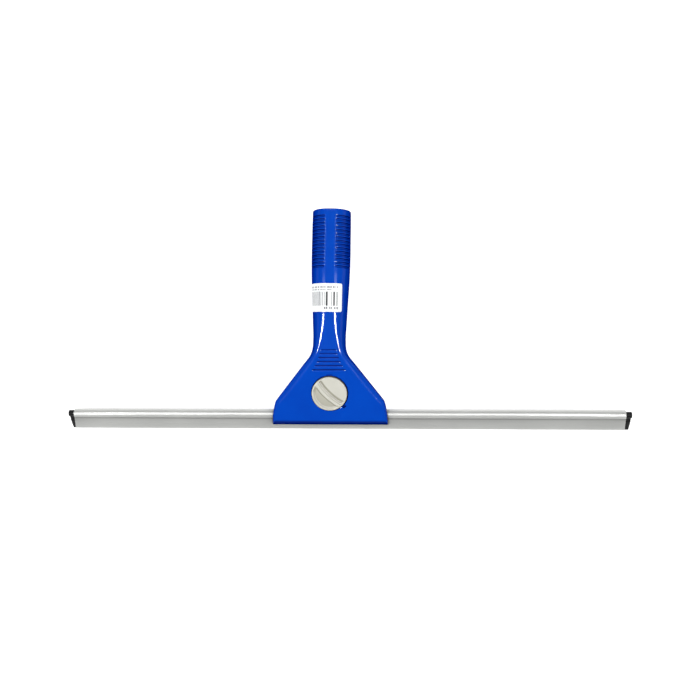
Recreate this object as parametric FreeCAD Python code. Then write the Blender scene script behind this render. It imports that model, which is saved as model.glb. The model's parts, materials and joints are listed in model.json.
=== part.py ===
import FreeCAD, Part
import os
from math import sin, cos, tan, radians, sqrt, pi, atan2, degrees, acos, asin
from FreeCAD import Vector as V

# Window squeegee: a moulded handle with a pole socket and a flat head, whose
# jaw holds a long aluminium channel with a rubber blade.  A quarter-turn knob
# in the head drives a sliding clamp block against the channel's round bead.
# It lies on its rubber edge and on the rim of its tail.  +X along the channel,
# +Y towards the tail of the handle, +Z up.  Millimetres.

os.makedirs("parts", exist_ok=True)

# ------------------------------------------------------------ dimensions
CH_LEN = 450.0        # aluminium channel length
RB_LEN = 460.0        # rubber length, 5 mm proud at each end
HANDLE_X = -12.8      # handle axis, measured from the channel's middle
BEAD_Z = 10.0         # height of the channel bead's axis above the floor
BEAD_R = 4.0          # outside radius of the channel bead
BEAD_RI = 2.8         # inside radius of the channel bead
SKIRT_DEG = 19.0      # slope of the channel's flat skirt
SKIRT_LEN = 9.75
SKIRT_T = 1.4
RUB_DEG = 38.0        # slope of the rubber blade
RUB_BEAD_R = 2.6
RUB_LEN = 15.9        # bead axis to working edge
SLOT_HALF = 1.15      # half width of the slot the rubber leaves through

PLATE_DEG = 16.0      # slope of the head's front face
PLATE_T = 6.6         # front face above the bead axis
TUBE_DEG = 3.2        # tube rises towards the neck
TAIL_Y = 164.3        # end of the tube's axis
TAIL_Z = 15.26
LEAN_DEG = 0.95       # tube leans a little to the right above the neck
LEAN_Y = 50.0
SOCKET_R = 12.0       # pole socket
SOCKET_LEN = 70.0
CORE_R = 8.0
CORE_LEN = 26.0

JAW_R = 4.2           # bore of the jaw
LIP_Y = -8.6          # front of the upper lip
KNOB_V = 19.9         # knob centre, up the slope from the bead axis
KNOB_R = 14.3
WELL_R = 14.7
WELL_N = 1.4          # well floor
DISC_N0, DISC_N1 = 1.6, 7.3
HUB_R = 4.5
HUB_N = -4.6
WALL_N0, WALL_N1 = -2.0, -3.8
SLIDE_TRAVEL = 2.5
SL_HALF = 9.0         # clamp block half width
SL_N0, SL_N1 = -1.85, 1.25
PIN_R = 1.4
PIN_LOCK_R = 9.2      # pin distance from the knob axis when locked

GROOVES = 15
GROOVE_Y0, GROOVE_Y1 = 158.3, 118.2
GROOVE_W, GROOVE_D = 1.45, 0.6

a_p, a_t, a_l = radians(PLATE_DEG), radians(TUBE_DEG), radians(LEAN_DEG)
B = V(HANDLE_X, 0, BEAD_Z)

# plate frame: u along X, v up the slope, n out of the front face
def PP(u, v, n):
    return V(HANDLE_X + u, v*cos(a_p) - n*sin(a_p), BEAD_Z + v*sin(a_p) + n*cos(a_p))
N = V(0, -sin(a_p), cos(a_p))
VV = V(0, cos(a_p), sin(a_p))

def plate_box(u0, u1, v0, v1, n0, n1):
    pts = [PP(u0, v0, n0), PP(u1, v0, n0), PP(u1, v1, n0), PP(u0, v1, n0)]
    f = Part.Face(Part.makePolygon(pts + [pts[0]]))
    return f.extrude(N*(n1 - n0))

def plate_cyl(u, v, r, n0, n1):
    return Part.makeCylinder(r, n1 - n0, PP(u, v, n0), N)

def x_prism(pts, x0, x1):
    """Extrude a closed polygon of (y, z) about the bead axis along X."""
    q = [V(x0, y, BEAD_Z + z) for y, z in pts]
    return Part.Face(Part.makePolygon(q + [q[0]])).extrude(V(x1 - x0, 0, 0))

def axis_z(y):
    return TAIL_Z + (TAIL_Y - y)*tan(a_t)

def lean(y):
    """Sideways offset of the tube's axis: none on the head, straight above the neck."""
    return tan(a_l)*((y - LEAN_Y) + sqrt((y - LEAN_Y)**2 + 25.0))/2.0

# ------------------------------------------------------------ handle body
# half sections: y, half width, top z, facet half width, side top z, side
# bottom z, bottom z, bottom half width, upper start slope, lower roundness
def lerp(tab, y):
    for (y0, v0), (y1, v1) in zip(tab, tab[1:]):
        if y0 >= y >= y1:
            f = (y0 - y)/(y0 - y1)
            return v0 + (v1 - v0)*f
    return tab[0][1] if y > tab[0][0] else tab[-1][1]

W_TAB = [(164.3, 15.35), (162.5, 15.5), (154.2, 15.55), (141.2, 15.62), (128.3, 15.68), (121.8, 15.62),
         (115.4, 15.5), (108.9, 15.28), (99.2, 14.85), (92.8, 14.5), (86.4, 14.2), (79.9, 13.9),
         (73.5, 13.58), (67.1, 13.25), (63.8, 13.14), (60.6, 13.12), (57.4, 13.2), (54.2, 13.5),
         (51.1, 14.15), (47.9, 15.5), (44.7, 17.85), (41.5, 20.45), (38.2, 23.05), (28.5, 30.65),
         (15.4, 40.9), (12.1, 43.4), (10.8, 44.2), (8.8, 44.9), (5.4, 45.6), (2.1, 46.2),
         (-1.2, 46.65), (-4.6, 46.8), (-12.0, 46.8)]
A_TAB = [(164.3, 3.9), (86.4, 3.9), (79.9, 4.0), (73.5, 4.6), (67.1, 5.6), (60.6, 7.2), (54.2, 8.7),
         (51.1, 9.6), (47.9, 11.0), (44.7, 13.1), (41.5, 15.5), (38.2, 18.0), (28.5, 25.7), (15.4, 36.6),
         (12.1, 39.6), (10.8, 40.6), (8.8, 42.0), (5.4, 43.4), (2.1, 44.4), (-1.2, 45.2), (-12.0, 45.6)]

def plate_top(y):
    return BEAD_Z + PLATE_T/cos(a_p) + y*tan(a_p)

def section(y):
    w, a = lerp(W_TAB, y), lerp(A_TAB, y)
    zc = axis_z(y)
    if y >= 57.4:
        drop = lerp([(164.3, 0.5), (86.4, 0.55), (73.5, 1.0), (67.1, 1.5), (57.4, 2.75)], y)
        top = zc + w - drop
        th = lerp([(164.3, 13.0), (86.4, 14.0), (73.5, 20.0), (57.4, 34.0)], y)
        return dict(w=w, a=a, top=top, zs1=zc + 0.1, zs0=zc - 0.1, bot=zc - w, c=0.3, th=th, k=0.55)
    top = min(plate_top(y), lerp([(57.4, axis_z(57.4) + 13.2 - 2.75), (54.2, 31.85), (51.1, 31.35), (47.9, 31.0), (-12, 40)], y))
    f = min(1.0, (57.4 - y)/22.0)              # 0 at the neck, 1 on the plate
    bot = lerp([(57.4, axis_z(57.4) - 13.2), (47.9, 7.7), (38.2, 6.7), (28.5, 5.9), (12.1, 4.3), (0, 3.15), (-12, 2.2)], y)
    edge = lerp([(57.4, 10.35), (47.9, 7.2), (38.2, 5.4), (28.5, 4.6), (10.8, 3.2), (2.1, 2.2), (-12, 1.8)], y)
    zs1 = top - edge
    side = lerp([(57.4, 0.2), (47.9, 3.5), (38.2, 5.5), (15.4, 6.5), (8.8, 8.0), (2.1, 9.2), (-12, 9.0)], y)
    zs0 = max(zs1 - side, bot + 0.5)
    if y < 57.4 and y > 51.0:
        zs0 = zs1 - side
    c = lerp([(57.4, 0.3), (47.9, 6.0), (38.2, 10.0), (28.5, 17.0), (15.4, 30.0), (8.8, 40.0), (2.1, 44.5), (-12, 45.5)], y)
    th = lerp([(57.4, 34.0), (47.9, 36.0), (38.2, 38.0), (-12, 40.0)], y)
    k = 0.55 - 0.25*f if y > 12 else 0.45
    return dict(w=w, a=a, top=top, zs1=zs1, zs0=zs0, bot=bot, c=c, th=th, k=k)

def place(x, z, y, tilt):
    """Section point, turned about the tube axis by the tilt and by the lean."""
    zc = axis_z(y)
    b = a_l*max(0.0, min(1.0, (y - 55.0)/35.0))
    return V(HANDLE_X + lean(y) + x*cos(b), y + (z - zc)*sin(tilt) - x*sin(b), zc + (z - zc)*cos(tilt))

def section_wire(y, tilt=0.0):
    s = section(y)
    th = radians(s['th'])
    dxu, dzu = s['w'] - s['a'], s['top'] - s['zs1']
    k = 0.5
    up = [(s['a'], s['top']),
          (s['a'] + dxu*k*1.05, s['top'] - dxu*k*1.05*tan(th)*0.62),
          (s['w'], s['zs1'] + dzu*k),
          (s['w'], s['zs1'])]
    dxl, dzl = s['w'] - s['c'], s['zs0'] - s['bot']
    kk = s['k']
    lo = [(s['w'], s['zs0']), (s['w'], s['zs0'] - dzl*kk), (s['c'] + dxl*kk, s['bot']), (s['c'], s['bot'])]
    def bez(p, sign):
        c = Part.BezierCurve()
        c.setPoles([place(sign*x, z, y, tilt) for x, z in p])
        return c.toShape()
    def seg(p, q):
        return Part.makeLine(place(p[0], p[1], y, tilt), place(q[0], q[1], y, tilt))
    ed = [seg((-s['a'], s['top']), (s['a'], s['top'])), bez(up, 1), seg(up[3], lo[0]), bez(lo, 1),
          seg((s['c'], s['bot']), (-s['c'], s['bot'])), bez(lo[::-1], -1),
          seg((-lo[0][0], lo[0][1]), (-up[3][0], up[3][1])), bez(up[::-1], -1)]
    return Part.Wire(ed)

STATIONS = [164.3, 162.5, 154.2, 141.2, 128.3, 115.4, 108.9, 99.2, 92.8, 86.4, 79.9, 73.5, 67.1, 60.6, 57.4, 54.2,
            51.1, 47.9, 44.7, 38.2, 28.5, 15.4, 12.1, 10.8, 8.8, 5.4, 2.1, -1.2, -4.6, -12.0]

def station_tilt(y):
    return a_t*max(0.0, min(1.0, (y - 86.4)/(115.4 - 86.4)))

wires = [section_wire(y, station_tilt(y)) for y in STATIONS]
body = Part.makeLoft(wires, True, True)

# front lip: rounded nose, then straight down
nose_c = (-4.2, 1.15)
nose_r = nose_c[0] - LIP_Y
cut = x_prism([(-30, nose_c[1]), (nose_c[0], nose_c[1]), (nose_c[0], 20), (-30, 20)], HANDLE_X - 60, HANDLE_X + 60)
cut = cut.cut(Part.makeCylinder(nose_r, 140, V(HANDLE_X - 70, nose_c[0], BEAD_Z + nose_c[1]), V(1, 0, 0)))
cut = cut.fuse(x_prism([(-30, -20), (LIP_Y, -20), (LIP_Y, nose_c[1] + 0.001), (-30, nose_c[1] + 0.001)], HANDLE_X - 60, HANDLE_X + 60))
body = body.cut(cut)

# mouth of the jaw: bead bore, skirt clearance and rubber clearance
sk, rb = radians(SKIRT_DEG), radians(RUB_DEG)
SK0 = (-3.24, 2.26)                      # where the skirt's top face leaves the bead
def skirt_top(y, off=0.0):
    return SK0[1] + off/cos(sk) + (y - SK0[0])*tan(sk)
d = (-cos(rb), -sin(rb))                 # along the rubber, away from the bead
m = (sin(rb), -cos(rb))                  # square to it, on the lower side
def rub(t, s):
    return (t*d[0] + s*m[0], t*d[1] + s*m[1])
mouth = [(-2.2, skirt_top(-2.2, 0.25)), (-30, skirt_top(-30, 0.25)), (-30, -30), (-3.3, -30), (-3.3, rub(0, 2.3)[1] + (-3.3 - rub(0, 2.3)[0])*tan(rb)),
         rub(0.5, 2.3), (-0.5, -0.5)]
body = body.cut(x_prism(mouth, HANDLE_X - 60, HANDLE_X + 60))
body = body.cut(Part.makeCylinder(JAW_R, 140, V(HANDLE_X - 70, 0, BEAD_Z), V(1, 0, 0)))

# knob well, index notch, clamp tunnel, hub hole and screw recess
body = body.cut(plate_cyl(0, KNOB_V, WELL_R, WELL_N, 20))
notch = plate_box(-1.45, 1.45, WELL_R - 1.0, WELL_R + 2.4, 5.2, 20)
notch.translate(PP(0, KNOB_V, 0) - PP(0, 0, 0))
notch.rotate(PP(0, KNOB_V, 0), N, -132)
body = body.cut(notch)
body = body.cut(plate_box(-9.2, 9.2, 0.5, KNOB_V + 12.6, WALL_N0, WELL_N + 0.01))
body = body.cut(plate_cyl(0, KNOB_V, HUB_R + 0.08, -20, 5))
body = body.cut(plate_cyl(0, KNOB_V, 6.9, -30, WALL_N1))

# moulding cores in the wings, open at the back
for sgn in (-1, 1):
    tri = [(17.4, 8.4), (37.5, 8.4), (37.8, 11.0), (17.4, 37.2)]
    q = [PP(sgn*u, v, 3.4) for u, v in tri]
    core = Part.Face(Part.makePolygon(q + [q[0]])).extrude(N*-40)
    body = body.cut(core)

# pole socket with its lead-in, and the lighter core beyond it
T = V(sin(a_l)*cos(a_t), cos(a_l)*cos(a_t), -sin(a_t))      # out of the tail
TC = V(HANDLE_X + lean(TAIL_Y), TAIL_Y, TAIL_Z)
body = body.cut(Part.makeCylinder(SOCKET_R, SOCKET_LEN + 5, TC - T*SOCKET_LEN, T))
body = body.cut(Part.makeCone(SOCKET_R, SOCKET_R + 1.2, 1.2, TC - T*1.19, T))
body = body.cut(Part.makeCone(CORE_R, SOCKET_R, 4.0, TC - T*(SOCKET_LEN + 4.0 - 0.001), T))
body = body.cut(Part.makeCylinder(CORE_R, CORE_LEN, TC - T*(SOCKET_LEN + CORE_LEN), T))

# outer edge of the tail rim, rounded
rim = Part.makeCylinder(22, 3.0, TC - T*1.0, T).cut(Part.makeCone(15.4, 14.4, 1.0, TC - T*1.0, T))
rim = rim.cut(Part.makeCylinder(14.4, 5, TC - T*1.5, T))
body = body.cut(rim)

# ring grooves round the grip, stopping at the flat strip and the sides
keep_strip = Part.makeBox(8.4, 80, 60, V(HANDLE_X + lean(140) - 4.2, 100, -10))
keep_strip.rotate(V(HANDLE_X + lean(140), 140, 0), V(0, 0, 1), -LEAN_DEG)
keep_side = Part.makeBox(60, 80, 3.0, V(HANDLE_X - 30, 0, -1.5))
keep_side.rotate(V(HANDLE_X, 0, 0), V(1, 0, 0), -TUBE_DEG)
keep_side.translate(V(0, 90, axis_z(90)))
rings = []
for i in range(GROOVES):
    y = GROOVE_Y0 + (GROOVE_Y1 - GROOVE_Y0)*i/(GROOVES - 1.0)
    r = lerp(W_TAB, y)
    c = V(HANDLE_X + lean(y), y, axis_z(y))
    ring = Part.makeCylinder(r + 2, GROOVE_W, c - T*GROOVE_W/2, T).cut(Part.makeCylinder(r - GROOVE_D, GROOVE_W + 1, c - T*(GROOVE_W/2 + 0.5), T))
    rings.append(ring)
cutter = Part.makeCompound(rings).cut(keep_strip).cut(keep_side)
body = body.cut(cutter)

# thumb grooves where the neck meets the plate
for y, hw in ((52.6, 6.0), (49.6, 7.0), (46.3, 8.0), (43.1, 9.0), (39.9, 10.6), (36.5, 13.0)):
    z = section(y)['top']
    body = body.cut(Part.makeCylinder(0.8, 2*hw, V(HANDLE_X + lean(y) - hw, y, z + 0.3), V(1, 0, 0)))

# ------------------------------------------------------------ knob
knob = plate_cyl(0, KNOB_V, KNOB_R, DISC_N0, DISC_N1).fuse(plate_cyl(0, KNOB_V, HUB_R, HUB_N, DISC_N0 + 0.5))
KC = PP(0, KNOB_V, 0)
# finger scoops each side of a diagonal rib: floor deepest beside the rib
for sgn in (-1, 1):
    prof = [(2.1, 12), (2.1, DISC_N1 - 2.9), (2.9, DISC_N1 - 3.1), (5.5, DISC_N1 - 2.7), (9.0, DISC_N1 - 1.5), (12.3, DISC_N1 - 0.25), (12.9, DISC_N1 + 0.3), (12.9, 12)]
    q = [PP(-16, KNOB_V + sgn*s, n) for s, n in prof]
    sc = Part.Face(Part.makePolygon(q + [q[0]])).extrude(V(32, 0, 0))
    sc = sc.common(plate_cyl(0, KNOB_V, 13.1, 0, 14))
    sc.rotate(KC, N, -45)
    knob = knob.cut(sc)
# screw hole in the hub
knob = knob.cut(plate_cyl(0, KNOB_V, 1.52, HUB_N - 1, HUB_N + 8.6))
# spiral groove under the disc: the clamp block's pin runs in it
def spiral(off, n):
    pts = []
    for i in range(n + 1):
        ph = 176.0 + 98.0*i/n
        r = PIN_LOCK_R - SLIDE_TRAVEL + SLIDE_TRAVEL*(ph - 180.0)/90.0
        pts.append((r + off, radians(ph)))
    return pts
GW = PIN_R + 0.08
inner, outer = spiral(-GW, 14), spiral(GW, 14)
def pol(r, ph):
    return PP(r*cos(ph), KNOB_V + r*sin(ph), DISC_N0 - 0.2)
loop = [pol(*p) for p in inner] + [pol(*p) for p in outer[::-1]]
groove = Part.Face(Part.makePolygon(loop + [loop[0]])).extrude(N*2.1)
for ph in (176.0, 274.0):
    r = PIN_LOCK_R - SLIDE_TRAVEL + SLIDE_TRAVEL*(ph - 180.0)/90.0
    u, v = r*cos(radians(ph)), KNOB_V + r*sin(radians(ph))
    groove = groove.fuse(plate_cyl(u, v, GW, DISC_N0 - 0.2, DISC_N0 + 1.9))
knob = knob.cut(groove)

# ------------------------------------------------------------ clamp block
slider = plate_box(-SL_HALF, SL_HALF, 2.0, KNOB_V + 9.6, SL_N0, SL_N1)
slider = slider.cut(Part.makeCylinder(BEAD_R + 0.2, 140, V(HANDLE_X - 70, 0, BEAD_Z), V(1, 0, 0)))
hw = HUB_R + 0.12
slot = plate_box(-hw, hw, KNOB_V, KNOB_V + SLIDE_TRAVEL, -10, 10).fuse(plate_cyl(0, KNOB_V, hw, -10, 10))
slot = slot.fuse(plate_cyl(0, KNOB_V - SLIDE_TRAVEL, hw, -10, 10)).fuse(plate_box(-hw, hw, KNOB_V - SLIDE_TRAVEL, KNOB_V, -10, 10))
slider = slider.cut(slot)
slider = slider.fuse(plate_cyl(0, KNOB_V - PIN_LOCK_R, PIN_R, SL_N1 - 0.5, DISC_N0 + 1.7))

# ------------------------------------------------------------ knob fixings
# dished spring washer between the wall and the flat washer
def dish(r0, r1, h0, h1, t):
    p = [(r0, h0), (r1, h1), (r1, h1 - t), (r0, h0 - t)]
    q = [PP(r, KNOB_V, n) for r, n in p]
    return Part.Face(Part.makePolygon(q + [q[0]])).revolve(KC, N, 360)
spring_washer = dish(4.75, 6.5, WALL_N1 - 0.35, WALL_N1 - 0.02, 0.4)
flat_washer = plate_cyl(0, KNOB_V, 6.5, HUB_N - 0.8, HUB_N).cut(plate_cyl(0, KNOB_V, 1.7, -20, 0))
head_n = HUB_N - 0.8
screw = plate_cyl(0, KNOB_V, 1.5, head_n - 0.5, HUB_N + 8.0)
screw = screw.fuse(plate_cyl(0, KNOB_V, 3.0, head_n - 2.0, head_n))
screw = screw.cut(plate_box(-2.0, 2.0, KNOB_V - 0.45, KNOB_V + 0.45, head_n - 3, head_n - 0.9))
screw = screw.cut(plate_box(-0.45, 0.45, KNOB_V - 2.0, KNOB_V + 2.0, head_n - 3, head_n - 0.9))

# ------------------------------------------------------------ channel
def arc_pt(r, deg):
    return (r*cos(radians(deg)), r*sin(radians(deg)))
L2 = CH_LEN/2.0
tube = Part.makeCylinder(BEAD_R, CH_LEN, V(-L2, 0, BEAD_Z), V(1, 0, 0))
tail_in = (-2.6, 0.6)
sk_d = (-cos(sk), -sin(sk))
sk_n = (sin(sk), -cos(sk))
s0 = SK0
s1 = (s0[0] + SKIRT_LEN*sk_d[0], s0[1] + SKIRT_LEN*sk_d[1])
s2 = (s1[0] + SKIRT_T*sk_n[0], s1[1] + SKIRT_T*sk_n[1])
root_up = (s0[0] + 0.9*-sk_d[0], s0[1] + 0.9*-sk_d[1])
root_dn = (root_up[0] + SKIRT_T*sk_n[0], root_up[1] + SKIRT_T*sk_n[1])
skirt = x_prism([root_up, s1, s2, root_dn], -L2, L2)
channel = tube.fuse(skirt)
channel = channel.cut(Part.makeCylinder(BEAD_RI, CH_LEN + 10, V(-L2 - 5, 0, BEAD_Z), V(1, 0, 0)))
slot_pts = [rub(0, -SLOT_HALF), rub(8, -SLOT_HALF), rub(8, SLOT_HALF), rub(0, SLOT_HALF)]
channel = channel.cut(x_prism(slot_pts, -L2 - 5, L2 + 5))
channel = channel.removeSplitter()

# ------------------------------------------------------------ rubber
R2 = RB_LEN/2.0
rubber = Part.makeCylinder(RUB_BEAD_R, RB_LEN, V(-R2, 0, BEAD_Z), V(1, 0, 0))
blade = [rub(0, -0.95), rub(5.0, -0.95), rub(5.6, -1.35), rub(8.4, -1.25), rub(RUB_LEN - 0.2, -0.8), rub(RUB_LEN, -0.6),
         rub(RUB_LEN, 0.35), rub(RUB_LEN - 0.25, 0.6), rub(8.4, 1.25), rub(5.6, 1.35), rub(5.0, 0.95), rub(0, 0.95)]
rubber = rubber.fuse(x_prism(blade, -R2, R2)).removeSplitter()

# ------------------------------------------------------------ label
# a sticker wrapped round the tube: right of the facet, over the top, and
# round the left side
def label_wire(y, off):
    s = section(y)
    zc = axis_z(y)
    f = (s['w'] + off)/s['w']
    th = radians(s['th'])
    dxu, dzu = s['w'] - s['a'], s['top'] - s['zs1']
    up = [(s['a'], s['top']), (s['a'] + dxu*0.525, s['top'] - dxu*0.525*tan(th)*0.62), (s['w'], s['zs1'] + dzu*0.5), (s['w'], s['zs1'])]
    lo = [(s['w'], s['zs0']), (s['w'], s['zs0'] - (s['zs0'] - s['bot'])*s['k']), (s['c'] + (s['w'] - s['c'])*s['k'], s['bot']), (s['c'], s['bot'])]
    def ev(p, n, sgn):
        out = []
        for i in range(n + 1):
            t = i/float(n)
            b = [(1 - t)**3, 3*t*(1 - t)**2, 3*t*t*(1 - t), t**3]
            out.append((sgn*sum(k*q[0] for k, q in zip(b, p)), sum(k*q[1] for k, q in zip(b, p))))
        return out
    pts = ev(up, 16, 1) + ev(lo, 16, 1) + ev(lo, 16, -1)[::-1] + ev(up, 16, -1)[::-1]
    pts = [V(HANDLE_X + lean(y) + x*f, y, zc + (z - zc)*f) for x, z in pts]
    return Part.makePolygon(pts + [pts[0]])
LBL_Y0, LBL_Y1 = 83.0, 105.0
lab_st = [LBL_Y1, 99.2, 92.8, 86.4, LBL_Y0]
lab_o = Part.makeLoft([label_wire(y, 0.22) for y in lab_st], True, True)
lab_i = Part.makeLoft([label_wire(y, 0.06) for y in [LBL_Y1 + 1] + lab_st[1:-1] + [LBL_Y0 - 1]], True, True)
label = lab_o.cut(lab_i)
zc0 = axis_z(94)
A0, A1 = 90.0 - 42.0, 90.0 + 109.0
wedge = [V(HANDLE_X + lean(94), 70, zc0)]
for i in range(13):
    a = radians(A0 + (A1 - A0)*i/12.0)
    wedge.append(V(HANDLE_X + lean(94) + 30*cos(a), 70, zc0 + 30*sin(a)))
wedge = Part.Face(Part.makePolygon(wedge + [wedge[0]])).extrude(V(0, 60, 0))
label = label.common(wedge)

# ------------------------------------------------------------ write
parts = {
    "handle_body": body, "lock_knob": knob, "clamp_slider": slider, "spring_washer": spring_washer,
    "flat_washer": flat_washer, "knob_screw": screw, "blade_channel": channel, "rubber_blade": rubber,
    "price_label": label,
}
allb = Part.makeCompound(list(parts.values())).BoundBox
Y0 = -(allb.YMin + allb.YMax)/2.0
X0 = -(allb.XMin + allb.XMax)/2.0
Z0 = -allb.ZMin
print("bbox", round(allb.XLength, 3), round(allb.YLength, 3), round(allb.ZLength, 3), "shift", X0, Y0, Z0)
bz = {k: round(s.BoundBox.ZMin + Z0, 3) for k, s in parts.items()}
print("lowest", bz)
print("knob centre", PP(0, KNOB_V, 0) + V(X0, Y0, Z0), "bead", Y0, BEAD_Z + Z0, "tail", TC + V(X0, Y0, Z0), "T", T)
for name, s in parts.items():
    s = s.copy()
    s.translate(V(X0, Y0, Z0))
    if len(s.Solids) == 1:
        s = s.Solids[0]
    print(name, "solids", len(s.Solids), "valid", s.isValid(), "vol %.1f" % s.Volume)
    s.exportStep("parts/%s.step" % name)
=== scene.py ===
import json
import math
import random
import bpy
import bmesh
import numpy as np
from mathutils import Vector, Matrix


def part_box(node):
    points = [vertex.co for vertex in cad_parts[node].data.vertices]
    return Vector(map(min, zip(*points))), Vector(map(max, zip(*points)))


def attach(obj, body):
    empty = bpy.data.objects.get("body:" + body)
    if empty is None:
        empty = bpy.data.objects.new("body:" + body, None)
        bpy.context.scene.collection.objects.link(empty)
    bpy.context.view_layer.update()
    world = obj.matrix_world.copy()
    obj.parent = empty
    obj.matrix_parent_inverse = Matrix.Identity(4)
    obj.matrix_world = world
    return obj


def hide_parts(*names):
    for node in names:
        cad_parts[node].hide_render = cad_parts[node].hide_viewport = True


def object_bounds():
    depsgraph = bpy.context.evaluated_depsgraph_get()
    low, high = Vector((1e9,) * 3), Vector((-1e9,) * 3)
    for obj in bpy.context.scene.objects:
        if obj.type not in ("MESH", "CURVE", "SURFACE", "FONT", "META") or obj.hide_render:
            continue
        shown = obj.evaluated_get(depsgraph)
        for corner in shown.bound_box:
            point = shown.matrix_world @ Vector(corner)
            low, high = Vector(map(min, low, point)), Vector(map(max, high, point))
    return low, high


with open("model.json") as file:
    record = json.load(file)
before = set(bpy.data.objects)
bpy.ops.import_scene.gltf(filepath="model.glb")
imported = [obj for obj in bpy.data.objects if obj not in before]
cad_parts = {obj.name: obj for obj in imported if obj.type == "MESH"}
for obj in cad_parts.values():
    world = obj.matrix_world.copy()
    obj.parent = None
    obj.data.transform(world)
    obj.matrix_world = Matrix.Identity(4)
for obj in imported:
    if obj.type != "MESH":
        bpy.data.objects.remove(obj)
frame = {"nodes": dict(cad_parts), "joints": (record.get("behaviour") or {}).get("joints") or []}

cad_lo, cad_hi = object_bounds()
MM = 0.001

# ---------------------------------------------------------------- frame data
# Everything is placed from the knob's hinge and the nodes' boxes.
# Local millimetres: x from the handle's axis, y from the channel bead's axis
# towards the tail, z above the floor with the bead's axis at BEAD_Z.
joints = {j["name"]: j for j in frame["joints"]}
kn_pos = Vector(joints["knob_turn"]["pos_m"]) / MM
kn_ax = Vector(joints["knob_turn"]["axis"]).normalized()
A_P = math.atan2(-kn_ax.y, kn_ax.z)                 # slope of the head plate
A_T = math.radians(3.2)                             # rise of the tube
BEAD_Z = 10.0
KNOB_V = 19.9
V_AX = Vector((0, math.cos(A_P), math.sin(A_P)))
BEAD_W = kn_pos - V_AX * KNOB_V                     # bead axis at the handle, world mm
HX, BY, DZ = BEAD_W.x, BEAD_W.y, BEAD_W.z - BEAD_Z
ch_lo, ch_hi = (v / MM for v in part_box("blade_channel"))
ru_lo, ru_hi = (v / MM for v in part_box("rubber_blade"))
hb_lo, hb_hi = (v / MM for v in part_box("handle_body"))
TAIL_Y, TAIL_Z = 164.3, 15.26
A_L = math.radians(0.95)                            # the tube leans right above the neck


def lean(y):
    return math.tan(A_L) * ((y - 50.0) + math.sqrt((y - 50.0) ** 2 + 25.0)) / 2.0


def W(x, y, z):
    """Local millimetres to world metres."""
    return ((HX + x) * MM, (BY + y) * MM, (DZ + z) * MM)


def P(u, v, n):
    """Head plate frame (across, up the slope, out of the face) to world metres."""
    return W(u, v * math.cos(A_P) - n * math.sin(A_P), BEAD_Z + v * math.sin(A_P) + n * math.cos(A_P))


# ---------------------------------------------------------------- mesh helpers
def new_obj(name, verts, faces, mats=(), smooth=True, angle=32.0, mat_idx=None):
    me = bpy.data.meshes.new(name)
    me.from_pydata([tuple(v) for v in verts], [], [tuple(f) for f in faces])
    me.validate()
    ob = bpy.data.objects.new(name, me)
    bpy.context.scene.collection.objects.link(ob)
    for m in mats:
        me.materials.append(m)
    if mat_idx is not None:
        for p, i in zip(me.polygons, mat_idx):
            p.material_index = i
    bm = bmesh.new()
    bm.from_mesh(me)
    bmesh.ops.recalc_face_normals(bm, faces=bm.faces)
    bm.to_mesh(me)
    bm.free()
    if smooth:
        shade(ob, angle)
    return ob


def shade(ob, angle=32.0):
    me = ob.data
    for p in me.polygons:
        p.use_smooth = True
    bm = bmesh.new()
    bm.from_mesh(me)
    lim = math.radians(angle)
    for e in bm.edges:
        e.smooth = not (len(e.link_faces) != 2 or e.calc_face_angle(0.0) > lim)
    bm.to_mesh(me)
    bm.free()
    me.update()


def apply_mods(ob):
    dg = bpy.context.evaluated_depsgraph_get()
    me = bpy.data.meshes.new_from_object(ob.evaluated_get(dg), preserve_all_data_layers=True, depsgraph=dg)
    ob.modifiers.clear()
    old = ob.data
    ob.data = me
    bpy.data.meshes.remove(old)


def boolean(ob, cutter, op="DIFFERENCE"):
    up, down = Matrix.Scale(1000.0, 4), Matrix.Scale(0.001, 4)
    ob.data.transform(up)
    cutter.data.transform(up)
    m = ob.modifiers.new("b", "BOOLEAN")
    m.operation, m.object, m.solver = op, cutter, "EXACT"
    apply_mods(ob)
    bpy.data.objects.remove(cutter)
    ob.data.transform(down)


def clean(ob, dist=2e-6):
    bm = bmesh.new()
    bm.from_mesh(ob.data)
    bmesh.ops.remove_doubles(bm, verts=bm.verts, dist=dist)
    bmesh.ops.dissolve_degenerate(bm, edges=bm.edges, dist=dist)
    loose = [v for v in bm.verts if not v.link_faces]
    bmesh.ops.delete(bm, geom=loose, context="VERTS")
    bmesh.ops.recalc_face_normals(bm, faces=bm.faces)
    bm.to_mesh(ob.data)
    bm.free()


def grid_faces(rows, cols, closed=True):
    f = []
    for i in range(rows - 1):
        for j in range(cols if closed else cols - 1):
            k = (j + 1) % cols
            f.append((i * cols + j, i * cols + k, (i + 1) * cols + k, (i + 1) * cols + j))
    return f


def prism_x(name, pts, x0, x1):
    """Closed polygon of (y, z about the bead) extruded along x, local mm."""
    n = len(pts)
    v = [W(x0, y, BEAD_Z + z) for y, z in pts] + [W(x1, y, BEAD_Z + z) for y, z in pts]
    f = [tuple(range(n))[::-1], tuple(range(n, 2 * n))]
    f += [(i, (i + 1) % n, n + (i + 1) % n, n + i) for i in range(n)]
    return new_obj(name, v, f, smooth=False)


def prism_n(name, pts, n0, n1):
    """Closed polygon of (u, v) extruded along the plate's normal."""
    n = len(pts)
    v = [P(a, b, n0) for a, b in pts] + [P(a, b, n1) for a, b in pts]
    f = [tuple(range(n))[::-1], tuple(range(n, 2 * n))]
    f += [(i, (i + 1) % n, n + (i + 1) % n, n + i) for i in range(n)]
    return new_obj(name, v, f, smooth=False)


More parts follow.
